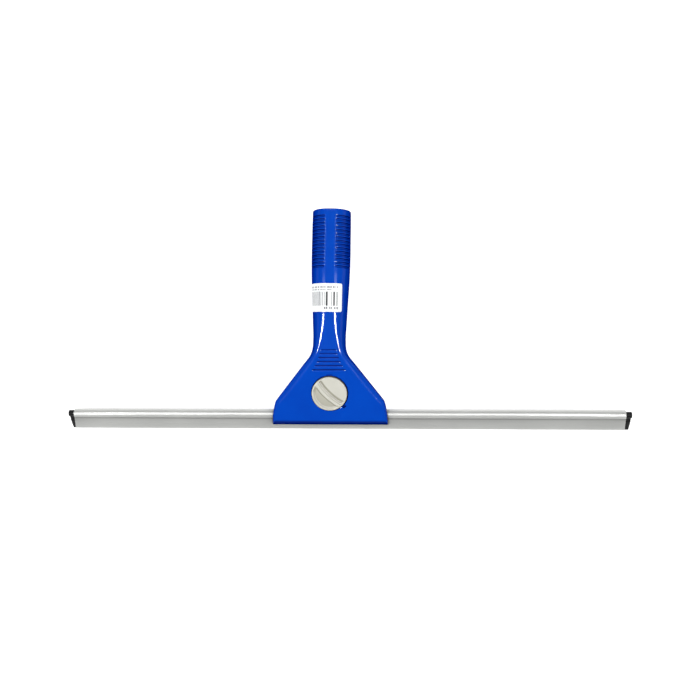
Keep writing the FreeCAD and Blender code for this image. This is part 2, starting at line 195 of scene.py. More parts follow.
def revolve_n(name, prof, seg=128, uc=0.0, vc=KNOB_V, mats=()):
    """Profile of (radius, n), from axis to axis, turned about the plate normal."""
    v, f = [], []
    rings = prof[1:-1]
    v.append(P(uc, vc, prof[0][1]))
    for r, n in rings:
        for j in range(seg):
            a = 2 * math.pi * j / seg
            v.append(P(uc + r * math.cos(a), vc + r * math.sin(a), n))
    v.append(P(uc, vc, prof[-1][1]))
    for j in range(seg):
        k = (j + 1) % seg
        f.append((0, 1 + k, 1 + j))
        for i in range(len(rings) - 1):
            a, b = 1 + i * seg, 1 + (i + 1) * seg
            f.append((a + j, a + k, b + k, b + j))
        a = 1 + (len(rings) - 1) * seg
        f.append((a + j, a + k, len(v) - 1))
    return new_obj(name, v, f, mats=mats, smooth=False)


# ---------------------------------------------------------------- materials
def mat_base(name):
    m = bpy.data.materials.new(name)
    m.use_nodes = True
    nt = m.node_tree
    nt.nodes.clear()
    out = nt.nodes.new("ShaderNodeOutputMaterial")
    bs = nt.nodes.new("ShaderNodeBsdfPrincipled")
    nt.links.new(bs.outputs["BSDF"], out.inputs["Surface"])
    return m, nt, bs


def node(nt, kind, **kw):
    n = nt.nodes.new(kind)
    for k, v in kw.items():
        if k in n.inputs:
            n.inputs[k].default_value = v
        else:
            setattr(n, k, v)
    return n


def ramp(nt, stops):
    r = nt.nodes.new("ShaderNodeValToRGB")
    el = r.color_ramp.elements
    el[0].position, el[0].color = stops[0][0], stops[0][1]
    el[1].position, el[1].color = stops[-1][0], stops[-1][1]
    for p, c in stops[1:-1]:
        e = el.new(p)
        e.color = c
    return r


def srgb(r, g, b):
    def f(c):
        c = c / 255.0
        return c / 12.92 if c <= 0.04045 else ((c + 0.055) / 1.055) ** 2.4
    return (f(r), f(g), f(b), 1.0)


def coords(nt, scale=(1, 1, 1)):
    """Object coordinates in millimetres, stretched by scale."""
    tc = nt.nodes.new("ShaderNodeTexCoord")
    mp = nt.nodes.new("ShaderNodeMapping")
    mp.inputs["Scale"].default_value = tuple(1000.0 * s for s in scale)
    nt.links.new(tc.outputs["Object"], mp.inputs["Vector"])
    return mp


def moulded_plastic(name, dark, light, rough, grain, coat=0.0, spec=0.5, streak=0.0, cavity=0.4, edge=0.0, reach=0.0022, front=0.0, span=(-0.92, -0.30), tint=(0.0, 0.9, 0.75), hollow=0.0):
    """Injection moulded plastic: slow colour drift, fine grain, rubbed edges, hairline scratches; painted shade in
    hollows, at grazing angles and on faces turned one way.
    """
    m, nt, bs = mat_base(name)
    L = nt.links.new
    mp = coords(nt)
    slow = node(nt, "ShaderNodeTexNoise", Scale=0.045, Detail=3.0, Roughness=0.5)
    L(mp.outputs[0], slow.inputs["Vector"])
    rp = ramp(nt, [(0.3, dark), (0.7, light)])
    L(slow.outputs["Fac"], rp.inputs["Fac"])
    # edges: convex corners are rubbed a little lighter
    geo = nt.nodes.new("ShaderNodeNewGeometry")
    er = ramp(nt, [(0.50, (0, 0, 0, 1)), (0.62, (1, 1, 1, 1))])
    L(geo.outputs["Pointiness"], er.inputs["Fac"])
    lighter = tuple(min(1.0, c * 1.2) for c in light[:3]) + (1.0,)
    mixe = node(nt, "ShaderNodeMix", data_type="RGBA")
    sc = node(nt, "ShaderNodeMath", operation="MULTIPLY")
    sc.inputs[1].default_value = 0.35 if edge == 0 else 0.10
    L(er.outputs["Color"], sc.inputs[0])
    L(sc.outputs[0], mixe.inputs["Factor"])
    L(rp.outputs["Color"], mixe.inputs["A"])
    mixe.inputs["B"].default_value = lighter
    # painted shade: ambient occlusion darkens the colour in creases, recesses and gaps between parts
    ao = node(nt, "ShaderNodeAmbientOcclusion", Distance=reach)
    ao.samples = 8
    aor = ramp(nt, [(0.25, tuple(max(0.0, 1 - cavity * c) for c in (1.0, 1.12, 0.85 if edge > 0 else 1.05)) + (1.0,)), (0.95, (1, 1, 1, 1))])
    L(ao.outputs["AO"], aor.inputs["Fac"])
    m1 = node(nt, "ShaderNodeMix", data_type="RGBA", blend_type="MULTIPLY")
    m1.inputs["Factor"].default_value = 1.0
    L(mixe.outputs["Result"], m1.inputs["A"])
    L(aor.outputs["Color"], m1.inputs["B"])
    if hollow > 0:
        # painted shade settles in the grooves: concave spots, found by pointiness, are darkened
        hr = ramp(nt, [(0.40, tuple(1 - hollow * c for c in (1.0, 1.0, 0.7)) + (1.0,)), (0.485, (1, 1, 1, 1))])
        L(geo.outputs["Pointiness"], hr.inputs["Fac"])
        m0 = node(nt, "ShaderNodeMix", data_type="RGBA", blend_type="MULTIPLY")
        m0.inputs["Factor"].default_value = 1.0
        L(m1.outputs["Result"], m0.inputs["A"])
        L(hr.outputs["Color"], m0.inputs["B"])
        m1 = m0
    # painted shade: with edge set, the colour darkens towards grazing angles so the silhouettes stay dark
    lw = node(nt, "ShaderNodeLayerWeight", Blend=0.5)
    lr = ramp(nt, [(0.04, (1, 1, 1, 1)), (0.36, (1, 1 - 0.34 * edge, 1 - 0.2 * edge, 1)), (0.6, (1, 1 - 0.62 * edge, 1 - 0.38 * edge, 1)),
                   (0.83, (1, 1 - 0.82 * edge, 1 - 0.56 * edge, 1)), (1.0, (1, 1 - 0.9 * edge, 1 - 0.7 * edge, 1))])
    L(lw.outputs["Facing"], lr.inputs["Fac"])
    m2 = node(nt, "ShaderNodeMix", data_type="RGBA", blend_type="MULTIPLY")
    m2.inputs["Factor"].default_value = 1.0
    L(m1.outputs["Result"], m2.inputs["A"])
    L(lr.outputs["Color"], m2.inputs["B"])
    if front > 0:
        # painted shade: faces that look towards the working edge are darkened by their object-space normal
        tcn = nt.nodes.new("ShaderNodeTexCoord")
        sp = nt.nodes.new("ShaderNodeSeparateXYZ")
        L(tcn.outputs["Normal"], sp.inputs[0])
        fm = node(nt, "ShaderNodeMapRange")
        fm.inputs["From Min"].default_value, fm.inputs["From Max"].default_value = span
        L(sp.outputs["Y"], fm.inputs["Value"])
        frp = ramp(nt, [(0.0, tuple(1 - c * front for c in tint) + (1.0,)), (0.55, tuple(1 - 0.7 * c * front for c in tint) + (1.0,)), (1.0, (1, 1, 1, 1))])
        L(fm.outputs["Result"], frp.inputs["Fac"])
        m3 = node(nt, "ShaderNodeMix", data_type="RGBA", blend_type="MULTIPLY")
        m3.inputs["Factor"].default_value = 1.0
        L(m2.outputs["Result"], m3.inputs["A"])
        L(frp.outputs["Color"], m3.inputs["B"])
        m2 = m3
    L(m2.outputs["Result"], bs.inputs["Base Color"])
    if edge > 0:
        df = nt.nodes.new("ShaderNodeBsdfDiffuse")
        L(m2.outputs["Result"], df.inputs["Color"])
        fr = node(nt, "ShaderNodeMapRange")
        fr.inputs["From Min"].default_value, fr.inputs["From Max"].default_value = 0.10, 0.36
        L(lw.outputs["Facing"], fr.inputs["Value"])
        ms = nt.nodes.new("ShaderNodeMixShader")
        L(fr.outputs["Result"], ms.inputs[0])
        L(bs.outputs["BSDF"], ms.inputs[1])
        L(df.outputs["BSDF"], ms.inputs[2])
        out = [n for n in nt.nodes if n.type == "OUTPUT_MATERIAL"][0]
        L(ms.outputs[0], out.inputs["Surface"])
    # roughness: fine mottling plus handling marks
    fine = node(nt, "ShaderNodeTexNoise", Scale=0.6, Detail=4.0, Roughness=0.6)
    L(mp.outputs[0], fine.inputs["Vector"])
    mr = node(nt, "ShaderNodeMapRange")
    mr.inputs["From Min"].default_value, mr.inputs["From Max"].default_value = 0.3, 0.7
    mr.inputs["To Min"].default_value, mr.inputs["To Max"].default_value = rough - 0.04, rough + 0.05
    L(fine.outputs["Fac"], mr.inputs["Value"])
    L(mr.outputs["Result"], bs.inputs["Roughness"])
    # bump: moulded grain and faint scratches
    gr = node(nt, "ShaderNodeTexNoise", Scale=3.2, Detail=3.0, Roughness=0.55)
    L(mp.outputs[0], gr.inputs["Vector"])
    wavy = node(nt, "ShaderNodeTexNoise", Scale=0.10, Detail=2.0)
    L(mp.outputs[0], wavy.inputs["Vector"])
    scr = node(nt, "ShaderNodeTexNoise", Scale=1.0, Detail=2.0)
    mp2 = coords(nt, (0.9, 0.05, 0.9))
    L(mp2.outputs[0], scr.inputs["Vector"])
    sr = ramp(nt, [(0.66, (0, 0, 0, 1)), (0.72, (1, 1, 1, 1))])
    L(scr.outputs["Fac"], sr.inputs["Fac"])
    b1 = node(nt, "ShaderNodeBump", Strength=grain, Distance=0.00003)
    L(gr.outputs["Fac"], b1.inputs["Height"])
    b2 = node(nt, "ShaderNodeBump", Strength=0.25, Distance=0.00025)
    L(wavy.outputs["Fac"], b2.inputs["Height"])
    L(b1.outputs["Normal"], b2.inputs["Normal"])
    b3 = node(nt, "ShaderNodeBump", Strength=streak, Distance=0.00002)
    L(sr.outputs["Color"], b3.inputs["Height"])
    L(b2.outputs["Normal"], b3.inputs["Normal"])
    L(b3.outputs["Normal"], bs.inputs["Normal"])
    bs.inputs["Specular IOR Level"].default_value = spec
    bs.inputs["Coat Weight"].default_value = coat
    bs.inputs["Coat Roughness"].default_value = 0.085
    return m


def extruded_metal(name, base, rough, along=0, aniso=0.35, metal=1.0, crease=0.0, grade=None):
    """Satin anodised extrusion: die lines along its length, slow tone drift."""
    m, nt, bs = mat_base(name)
    L = nt.links.new
    s = [1.0, 1.0, 1.0]
    s[along] = 0.004
    mp = coords(nt, tuple(s))
    lines = node(nt, "ShaderNodeTexNoise", Scale=3.5, Detail=5.0, Roughness=0.65)
    L(mp.outputs[0], lines.inputs["Vector"])
    mpn = coords(nt)
    slow = node(nt, "ShaderNodeTexNoise", Scale=0.03, Detail=2.0)
    L(mpn.outputs[0], slow.inputs["Vector"])
    lo = tuple(c * 0.93 for c in base[:3]) + (1.0,)
    hi = tuple(min(1.0, c * 1.04) for c in base[:3]) + (1.0,)
    rp = ramp(nt, [(0.35, lo), (0.65, hi)])
    mx = node(nt, "ShaderNodeMath", operation="ADD")
    hl = node(nt, "ShaderNodeMath", operation="MULTIPLY")
    hl.inputs[1].default_value = 0.5
    h2 = node(nt, "ShaderNodeMath", operation="MULTIPLY")
    h2.inputs[1].default_value = 0.5
    L(lines.outputs["Fac"], hl.inputs[0])
    L(slow.outputs["Fac"], h2.inputs[0])
    L(hl.outputs[0], mx.inputs[0])
    L(h2.outputs[0], mx.inputs[1])
    L(mx.outputs[0], rp.inputs["Fac"])
    if crease > 0:
        # painted shade: ambient occlusion darkens the crease where the skirt meets the tube
        ao = node(nt, "ShaderNodeAmbientOcclusion", Distance=0.011)
        ao.samples = 8
        k = 1.0 - crease
        ar = ramp(nt, [(0.30, (k, k, k, 1)), (1.0, (1, 1, 1, 1))])
        L(ao.outputs["AO"], ar.inputs["Fac"])
        mm = node(nt, "ShaderNodeMix", data_type="RGBA", blend_type="MULTIPLY")
        mm.inputs["Factor"].default_value = 1.0
        L(rp.outputs["Color"], mm.inputs["A"])
        L(ar.outputs["Color"], mm.inputs["B"])
        last = mm.outputs["Result"]
    else:
        last = rp.outputs["Color"]
    if grade:
        # painted shade: darker where the skirt meets the tube, with a darkest line at the crease, and lighter towards
        # its edge, by object Y
        lo_y, hi_y, stops = grade
        tc = nt.nodes.new("ShaderNodeTexCoord")
        sx = nt.nodes.new("ShaderNodeSeparateXYZ")
        L(tc.outputs["Object"], sx.inputs[0])
        gm = node(nt, "ShaderNodeMapRange")
        gm.inputs["From Min"].default_value, gm.inputs["From Max"].default_value = lo_y * MM, hi_y * MM
        L(sx.outputs["Y"], gm.inputs["Value"])
        gr = ramp(nt, [((y - lo_y) / (hi_y - lo_y), (f, f, f, 1)) for y, f in stops])
        L(gm.outputs["Result"], gr.inputs["Fac"])
        mg = node(nt, "ShaderNodeMix", data_type="RGBA", blend_type="MULTIPLY")
        mg.inputs["Factor"].default_value = 1.0
        L(last, mg.inputs["A"])
        L(gr.outputs["Color"], mg.inputs["B"])
        last = mg.outputs["Result"]
    L(last, bs.inputs["Base Color"])
    mr = node(nt, "ShaderNodeMapRange")
    mr.inputs["From Min"].default_value, mr.inputs["From Max"].default_value = 0.3, 0.7
    mr.inputs["To Min"].default_value, mr.inputs["To Max"].default_value = rough - 0.05, rough + 0.06
    L(lines.outputs["Fac"], mr.inputs["Value"])
    L(mr.outputs["Result"], bs.inputs["Roughness"])
    bp = node(nt, "ShaderNodeBump", Strength=0.12, Distance=0.00002)
    L(lines.outputs["Fac"], bp.inputs["Height"])
    L(bp.outputs["Normal"], bs.inputs["Normal"])
    bs.inputs["Metallic"].default_value = metal
    bs.inputs["Anisotropic"].default_value = aniso
    return m


def rubber_mat(name):
    m, nt, bs = mat_base(name)
    L = nt.links.new
    mp = coords(nt)
    n1 = node(nt, "ShaderNodeTexNoise", Scale=0.4, Detail=5.0, Roughness=0.6)
    L(mp.outputs[0], n1.inputs["Vector"])
    rp = ramp(nt, [(0.3, (0.0028, 0.0028, 0.0032, 1)), (0.75, (0.0075, 0.0075, 0.008, 1))])
    L(n1.outputs["Fac"], rp.inputs["Fac"])
    L(rp.outputs["Color"], bs.inputs["Base Color"])
    mr = node(nt, "ShaderNodeMapRange")
    mr.inputs["To Min"].default_value, mr.inputs["To Max"].default_value = 0.46, 0.62
    L(n1.outputs["Fac"], mr.inputs["Value"])
    L(mr.outputs["Result"], bs.inputs["Roughness"])
    n2 = node(nt, "ShaderNodeTexNoise", Scale=4.0, Detail=3.0)
    L(mp.outputs[0], n2.inputs["Vector"])
    bp = node(nt, "ShaderNodeBump", Strength=0.25, Distance=0.00004)
    L(n2.outputs["Fac"], bp.inputs["Height"])
    L(bp.outputs["Normal"], bs.inputs["Normal"])
    bs.inputs["Specular IOR Level"].default_value = 0.16
    return m


def paper_mat(name, lo, hi, rough):
    m, nt, bs = mat_base(name)
    L = nt.links.new
    mp = coords(nt)
    n1 = node(nt, "ShaderNodeTexNoise", Scale=1.2, Detail=6.0, Roughness=0.65)
    L(mp.outputs[0], n1.inputs["Vector"])
    rp = ramp(nt, [(0.3, lo), (0.7, hi)])
    L(n1.outputs["Fac"], rp.inputs["Fac"])
    L(rp.outputs["Color"], bs.inputs["Base Color"])
    n2 = node(nt, "ShaderNodeTexNoise", Scale=9.0, Detail=4.0)
    L(mp.outputs[0], n2.inputs["Vector"])
    bp = node(nt, "ShaderNodeBump", Strength=0.3, Distance=0.00002)
    L(n2.outputs["Fac"], bp.inputs["Height"])
    L(bp.outputs["Normal"], bs.inputs["Normal"])
    mr = node(nt, "ShaderNodeMapRange")
    mr.inputs["To Min"].default_value, mr.inputs["To Max"].default_value = rough - 0.06, rough + 0.08
    L(n1.outputs["Fac"], mr.inputs["Value"])
    L(mr.outputs["Result"], bs.inputs["Roughness"])
    return m


# painted shade: ambient occlusion, groove darkening, grazing-angle darkening and front-facing darkening
M_BLUE = moulded_plastic("blue_plastic", (0.0, 0.045, 0.385, 1), (0.0, 0.052, 0.415, 1), 0.36, 0.10, coat=0.75, spec=0.03, streak=0.03, cavity=0.75, edge=1.0, front=0.8, span=(-0.62, -0.285), hollow=0.6)
# painted shade: its lower-left half, whose normals face the front, is darkened, and its hollows by ambient occlusion
M_KNOB = moulded_plastic("grey_plastic", srgb(183, 182, 172), srgb(191, 190, 181), 0.42, 0.30, spec=0.35, streak=0.03, cavity=0.6, reach=0.006, front=1.0, span=(-0.47, -0.285), tint=(0.34, 0.35, 0.41))
M_ACETAL = moulded_plastic("acetal", srgb(222, 221, 214), srgb(232, 231, 226), 0.38, 0.3)
# painted shade: the grade darkens the skirt near the crease and lightens it towards its edge
M_ALU = extruded_metal("anodised_aluminium", srgb(222, 223, 220), 0.44, metal=0.5, crease=0.8,
                        grade=(BY - 13.0, BY + 5.0, [(BY - 12.4, 0.95), (BY - 10.6, 0.80), (BY - 8.0, 0.68), (BY - 4.6, 0.55), (BY - 3.5, 0.34),
                                                     (BY - 3.0, 0.5), (BY - 2.2, 0.74), (BY + 4.5, 0.74)]))
M_STEEL = extruded_metal("zinc_steel", srgb(196, 196, 194), 0.30, along=1, aniso=0.2)
M_SPRING = extruded_metal("spring_steel", srgb(150, 150, 152), 0.36, along=1, aniso=0.2)
M_RUBBER = rubber_mat("black_rubber")
M_PAPER = paper_mat("label_paper", srgb(222, 225, 225), srgb(232, 234, 234), 0.45)
M_INK = paper_mat("label_ink", srgb(30, 30, 34), srgb(52, 52, 58), 0.4)
M_INK2 = paper_mat("label_ink_grey", srgb(84, 84, 92), srgb(118, 118, 124), 0.4)


# ---------------------------------------------------------------- handle skin
def pchip(tab):
    """Monotone cubic through (y, value), y descending; returns a function."""
    t = sorted(tab)
    xs = np.array([a for a, _ in t], float)
    ys = np.array([b for _, b in t], float)
    h = np.diff(xs)
    dl = np.diff(ys) / h
    mm = np.zeros(len(xs))
    for i in range(1, len(xs) - 1):
        if dl[i - 1] * dl[i] > 0:
            w1, w2 = 2 * h[i] + h[i - 1], h[i] + 2 * h[i - 1]
            mm[i] = (w1 + w2) / (w1 / dl[i - 1] + w2 / dl[i])
    mm[0], mm[-1] = dl[0], dl[-1]

    def f(x):
        x = min(max(x, xs[0]), xs[-1])
        i = min(max(int(np.searchsorted(xs, x)) - 1, 0), len(h) - 1)
        s = (x - xs[i]) / h[i]
        return float(ys[i] * (1 + 2 * s) * (1 - s) ** 2 + mm[i] * h[i] * s * (1 - s) ** 2
                     + ys[i + 1] * s * s * (3 - 2 * s) + mm[i + 1] * h[i] * s * s * (s - 1))
    return f


F_W = pchip([(164.3, 15.36), (154.2, 15.55), (141.2, 15.62), (128.3, 15.68), (121.8, 15.62), (115.4, 15.5),
             (108.9, 15.28), (99.2, 14.85), (92.8, 14.5), (86.4, 14.2), (79.9, 13.9), (73.5, 13.58), (67.1, 13.25),
             (63.8, 13.14), (60.6, 13.12), (57.4, 13.2), (54.2, 13.5), (51.1, 14.15), (47.9, 15.5), (44.7, 17.85),
             (41.5, 20.45), (38.2, 23.05), (28.5, 30.65), (15.4, 40.9), (12.9, 42.8), (11.6, 43.75), (10.6, 44.25),
             (8.8, 44.85), (5.4, 45.6), (2.1, 46.2), (-1.2, 46.65), (-4.6, 46.8), (-12.0, 46.8)])
F_A = pchip([(164.3, 3.9), (86.4, 3.9), (79.9, 4.05), (73.5, 4.7), (67.1, 5.7), (60.6, 7.2), (54.2, 8.8), (51.1, 9.6),
             (47.9, 10.8), (44.7, 12.7), (41.5, 15.0), (38.2, 17.4), (28.5, 24.9), (15.4, 35.6), (12.1, 38.6),
             (10.8, 39.7), (8.8, 41.4), (5.4, 43.2), (2.1, 44.2), (-1.2, 44.9), (-12.0, 45.3)])
F_DROP = pchip([(164.3, 0.5), (86.4, 0.55), (73.5, 1.0), (67.1, 1.5), (60.0, 2.45), (57.4, 2.75), (54.0, 3.0), (-12, 3.0)])
F_BOT = pchip([(164.3, 0.0), (57.5, 8.0), (52.0, 7.95), (47.9, 7.7), (38.2, 6.7), (28.5, 5.9), (12.1, 4.3), (0, 3.15), (-12, 2.2)])
F_EDGE = pchip([(57.4, 10.35), (47.9, 7.4), (38.2, 5.6), (28.5, 4.7), (15.4, 3.9), (10.8, 3.2), (2.1, 2.3), (-12, 1.8)])
F_SIDE = pchip([(57.4, 0.2), (47.9, 3.5), (38.2, 5.5), (15.4, 6.5), (8.8, 8.0), (2.1, 9.2), (-12, 9.0)])
F_C = pchip([(57.4, 0.3), (47.9, 6.0), (38.2, 10.0), (28.5, 17.0), (15.4, 30.0), (8.8, 40.0), (2.1, 44.5), (-12, 45.5)])


F_SL = pchip([(164.3, 0.259), (115.0, 0.259), (86.4, 0.285), (73.5, 0.345), (67.1, 0.40), (57.4, 0.46), (47.9, 0.47),
              (38.2, 0.50), (-12.0, 0.52)])


def axis_z(y):
    return TAIL_Z + (TAIL_Y - y) * math.tan(A_T)


def plate_top(y):
    return BEAD_Z + 6.6 / math.cos(A_P) + y * math.tan(A_P)


def smin(a, b, k):
    h = max(k - abs(a - b), 0.0) / k
    return min(a, b) - h * h * k * 0.25


def blend01(x, a, b):
    t = min(max((x - a) / (b - a), 0.0), 1.0)
    return t * t * (3 - 2 * t)


def section(y):
    w, a = F_W(y), F_A(y)
    zc = axis_z(y)
    tube_top = zc + F_W(max(y, 60.0)) - F_DROP(y)
    top = smin(plate_top(y), tube_top, 1.6)
    f = blend01(57.4 - y, 0.0, 8.0)                  # 0 on the tube, 1 on the head
    edge_t, edge_h = top - (zc + 0.1), F_EDGE(y)
    zs1 = top - (edge_t * (1 - f) + edge_h * f)
    bot_t = zc - w
    bot = bot_t * (1 - f) + F_BOT(y) * f
    side = 0.2 * (1 - f) + F_SIDE(y) * f
    zs0 = max(zs1 - side, bot + 0.5)
    c = 0.3 * (1 - f) + F_C(y) * f
    k = 0.55 * (1 - f) + f * (0.30 + 0.15 * blend01(14 - y, 0, 5))
    return dict(w=w, a=a, top=top, zs1=zs1, zs0=zs0, bot=bot, c=c, sl=F_SL(y), k1=0.587 - 0.062 * f, k=k, zc=zc)


def bez(p, t):
    b = ((1 - t) ** 3, 3 * t * (1 - t) ** 2, 3 * t * t * (1 - t), t ** 3)
    return (sum(k * q[0] for k, q in zip(b, p)), sum(k * q[1] for k, q in zip(b, p)))


N_FAC, N_RND, N_UP, N_SIDE, N_LOW, N_BOT = ((26, 6, 20, 4, 18, 6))


def half_contour(y):
    """Right half of the section, from the top centre line to the bottom's."""
    s = section(y)
    dxu, dzu = s["w"] - s["a"], s["top"] - s["zs1"]
    up = [(s["a"], s["top"]), (s["a"] + dxu * s["k1"], s["top"] - dxu * s["k1"] * s["sl"]),
          (s["w"], s["zs1"] + dzu * 0.5), (s["w"], s["zs1"])]
    lo = [(s["w"], s["zs0"]), (s["w"], s["zs0"] - (s["zs0"] - s["bot"]) * s["k"]),
          (s["c"] + (s["w"] - s["c"]) * s["k"], s["bot"]), (s["c"], s["bot"])]
    e = min(1.8, s["a"] * 0.42, dxu * 0.35)
    # point on the upper curve about e away from the facet's edge
    L = math.hypot(up[1][0] - up[0][0], up[1][1] - up[0][1]) * 3.0
    t1 = min(0.45, e / max(L, 1e-6) * 1.15)
    q0, q1, q2 = (s["a"] - e, s["top"]), up[0], bez(up, t1)
    pts = [((s["a"] - e) * i / N_FAC, s["top"]) for i in range(N_FAC)]
    for i in range(N_RND):
        t = i / float(N_RND)
        pts.append(((1 - t) ** 2 * q0[0] + 2 * t * (1 - t) * q1[0] + t * t * q2[0],
                    (1 - t) ** 2 * q0[1] + 2 * t * (1 - t) * q1[1] + t * t * q2[1]))
    pts += [bez(up, t1 + (1 - t1) * i / float(N_UP)) for i in range(N_UP)]
    pts += [(s["w"], s["zs1"] + (s["zs0"] - s["zs1"]) * i / float(N_SIDE)) for i in range(N_SIDE)]
    pts += [bez(lo, i / float(N_LOW)) for i in range(N_LOW)]
    pts += [(s["c"] * (1 - i / float(N_BOT)), s["bot"]) for i in range(N_BOT + 1)]
    return pts


def full_contour(y):
    h = half_contour(y)
    return h + [(-x, z) for x, z in h[-2:0:-1]]


def tilt_at(y):
    return A_T * blend01(y, 86.4, 115.4)


def place(x, z, y, tl):
    zc = axis_z(y)
    b = A_L * min(max((y - 55.0) / 35.0, 0.0), 1.0)
    return (lean(y) + x * math.cos(b), y + (z - zc) * math.sin(tl) - x * math.sin(b), zc + (z - zc) * math.cos(tl))


RINGS = [158.3 + (118.2 - 158.3) * i / 14.0 for i in range(15)]
THUMB = [(52.6, 6.0), (49.6, 7.0), (46.3, 8.0), (43.1, 9.2), (39.9, 10.8), (36.5, 13.2)]


def ring_depth(y):
    d = min(abs(y - c) for c in RINGS)
    return 0.75 * blend01(1.05 - d, 0.0, 0.75)


def thumb_depth(x, y):
    out = 0.0
    for c, hw in THUMB:
        ex = max(abs(x) - (hw - 0.55), 0.0)
        d = math.hypot(y - c, ex)
        out = max(out, 0.45 * blend01(1.0 - d, 0.0, 0.85))
    return out


def build_handle():
    g, t, b, h = 0.155, 1.5, 0.22, 1.6
    ys = list(np.arange(163.2, 159.6, -0.6)) + list(np.arange(159.6, 116.9, -g)) + list(np.arange(116.9, 56.5, -t))
    ys += list(np.arange(56.5, 35.2, -b)) + list(np.arange(35.2, 14.5, -h)) + list(np.arange(14.5, 4.0, -h * 0.35))
    ys += list(np.arange(4.0, -12.0, -h * 0.8)) + [-12.0]
    ys = sorted(set(round(float(y), 4) for y in ys), reverse=True)
    ys = [y for i, y in enumerate(ys) if i == 0 or ys[i - 1] - y > 0.08]
    verts, cols = [], len(full_contour(100.0))
    phis = None
    # socket first: core floor, core, cone, bore, lead-in, end face, rim round
    base = full_contour(164.0)
    zc = axis_z(164.0)
    phis = [math.atan2(x, z - zc) for x, z in base]
    T = (math.sin(A_L) * math.cos(A_T), math.cos(A_L) * math.cos(A_T), -math.sin(A_T))

    def rim_pt(x, q, s):
        """Point x across and q above the tube's axis, s millimetres in from the tail's end."""
        return W(lean(TAIL_Y) - T[0] * s + x * math.cos(A_L), TAIL_Y - T[1] * s + q * math.sin(A_T) - x * math.sin(A_L),
                 TAIL_Z - T[2] * s + q * math.cos(A_T))

    def ring(r, s):
        return [rim_pt(r * math.sin(p), r * math.cos(p), s) for p in phis]

    rows = []
    for r, s in ((0.6, 96), (4.0, 96), (7.3, 96), (7.85, 95.6), (8.0, 95.0), (8.0, 85), (8.0, 74.3), (8.2, 73.9),
                 (11.8, 70.3), (12.0, 69.8), (12.0, 60), (12.0, 45), (12.0, 30), (12.0, 15), (12.0, 3.0), (12.0, 1.3),
                 (12.06, 1.05), (12.9, 0.3), (13.05, 0.1), (13.2, 0.0)):
        rows.append(ring(r, s))
    # end face to the outside, rounded over
    fine = full_contour(164.3)
    zc0 = axis_z(164.3)
    for k, dep in ((1.05, 0.0), (0.72, 0.03), (0.45, 0.14), (0.22, 0.33), (0.07, 0.6), (0.0, 1.0)):
        rr = []
        for x, z in fine:
            R = math.hypot(x, z - zc0)
            f = (R - k) / R
            rr.append(rim_pt(x * f, (z - zc0) * f, dep))
        rows.append(rr)
    for y in ys:
        tl = tilt_at(y)
        zc = axis_z(y)
        rd = ring_depth(y) if 116.0 < y < 160.5 else 0.0
        rr = []
        for x, z in full_contour(y):
            if rd > 0:
                R = math.hypot(x, z - zc)
                mask = blend01(abs(x), 4.2, 5.1) * blend01(abs(z - zc), 1.2, 5.0)
                f = (R - rd * mask) / R
                x, z = x * f, zc + (z - zc) * f
            elif 34.0 < y < 55.0 and z > zc + 2:
                d = thumb_depth(x, y)
                if d > 0 and z > section(y)["top"] - 0.4:
                    z -= d
            rr.append(W(*place(x, z, y, tl)))
        rows.append(rr)
    for r in rows:
        verts += r
    faces = grid_faces(len(rows), cols)
    faces.append(tuple(range(cols))[::-1])
    faces.append(tuple(range((len(rows) - 1) * cols, len(rows) * cols)))
    ob = new_obj("handle_moulding", verts, faces, mats=[M_BLUE], smooth=False)

    # ---- jaw: nose of the upper lip
    cx, r = -2.4, 6.2
    cz = 6.6 / math.cos(A_P) + cx * math.tan(A_P) - r / math.cos(A_P)
    a0 = math.pi / 2 + A_P
    pts = [(-30, 20)]
    n = 22
    arc = [(cx + r * math.cos(a0 + (math.pi - a0) * i / n), cz + r * math.sin(a0 + (math.pi - a0) * i / n)) for i in range(n + 1)]
    pts += [(arc[0][0] + 0.02, 20), (arc[0][0] + 0.02, arc[0][1] + 0.012)] + arc + [(-8.6, -20), (-30, -20)]
    boolean(ob, prism_x("c1", pts, -70, 70))
    # ---- jaw: bead bore and mouth
    sk, rb = math.radians(19.0), math.radians(38.0)
    JR = 4.2

    def skt(y, off=0.25):
        return 2.26 + off / math.cos(sk) + (y + 3.24) * math.tan(sk)
    a1, a2 = math.radians(144.0), math.radians(251.2 - 360.0)
    m = 64
    pts = [(JR * math.cos(a1 + (a2 - a1) * i / m), JR * math.sin(a1 + (a2 - a1) * i / m)) for i in range(m + 1)]
    r0 = (2.3 * math.sin(rb), -2.3 * math.cos(rb))
    pts += [(-3.3, r0[1] + (-3.3 - r0[0]) * math.tan(rb)), (-3.3, -30), (-31, -30), (-31, skt(-31))]
    boolean(ob, prism_x("c2", pts, -70, 70))
    # ---- knob well with a rounded rim, hub hole and screw recess
    prof = [(0, 1.4), (14.9, 1.4), (14.9, 6.3)]
    for i in range(0, 8):
        t = math.radians(i * 11.2)
        prof.append((15.2 - 0.3 * math.cos(t), 6.3 + 0.3 * math.sin(t)))
    prof += [(15.5, 6.75), (15.75, 9.0), (0, 9.0)]
    boolean(ob, revolve_n("c3", prof, 160, 0.28, KNOB_V + 0.28))
    boolean(ob, revolve_n("c4", [(0, -40), (6.9, -40), (6.9, -3.8), (4.58, -3.8), (4.58, 2.0), (0, 2.0)], 96))
    # ---- clamp tunnel
    boolean(ob, prism_n("c5", [(-9.2, 0.5), (9.2, 0.5), (9.2, 32.5), (-9.2, 32.5)], -2.0, 1.6))
    # ---- index notch, lower right of the well
    ca, sa = math.cos(math.radians(-42)), math.sin(math.radians(-42))
    pts = []
    for a, b in ((13.4, -1.45), (16.6, -1.45), (17.1, -0.95), (17.1, 0.95), (16.6, 1.45), (13.4, 1.45)):
        pts.append((a * ca - b * sa, KNOB_V + a * sa + b * ca))
    boolean(ob, prism_n("c6", pts, 4.9, 9.5))
